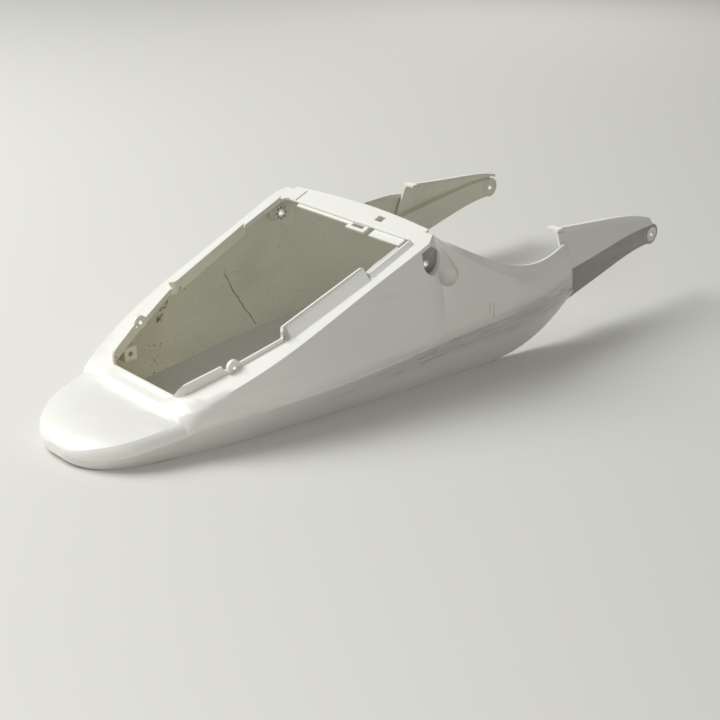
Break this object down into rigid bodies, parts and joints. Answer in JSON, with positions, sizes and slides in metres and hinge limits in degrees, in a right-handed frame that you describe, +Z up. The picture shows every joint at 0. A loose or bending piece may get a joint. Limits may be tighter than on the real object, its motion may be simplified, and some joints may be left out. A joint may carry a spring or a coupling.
{
  "type": "motorcycle tail fairing",
  "caption": "One-piece moulded tail fairing: rounded nose, sloped seat rim with an upstanding lip, curved sides with a chine and forward arms with mounting holes.",
  "frame": {"origin": "middle of the length and width, on the floor plane under the lower edges", "axes": "+X forward towards the arms, +Y to the left side, +Z up"},
  "size_m": [0.7684, 0.305, 0.1643],
  "materials": {
    "white_plastic": "gloss white, matte inside, worn"
  },
  "bodies": {
    "root": {"tail_fairing": "white_plastic"}
  },
  "joints": []
}
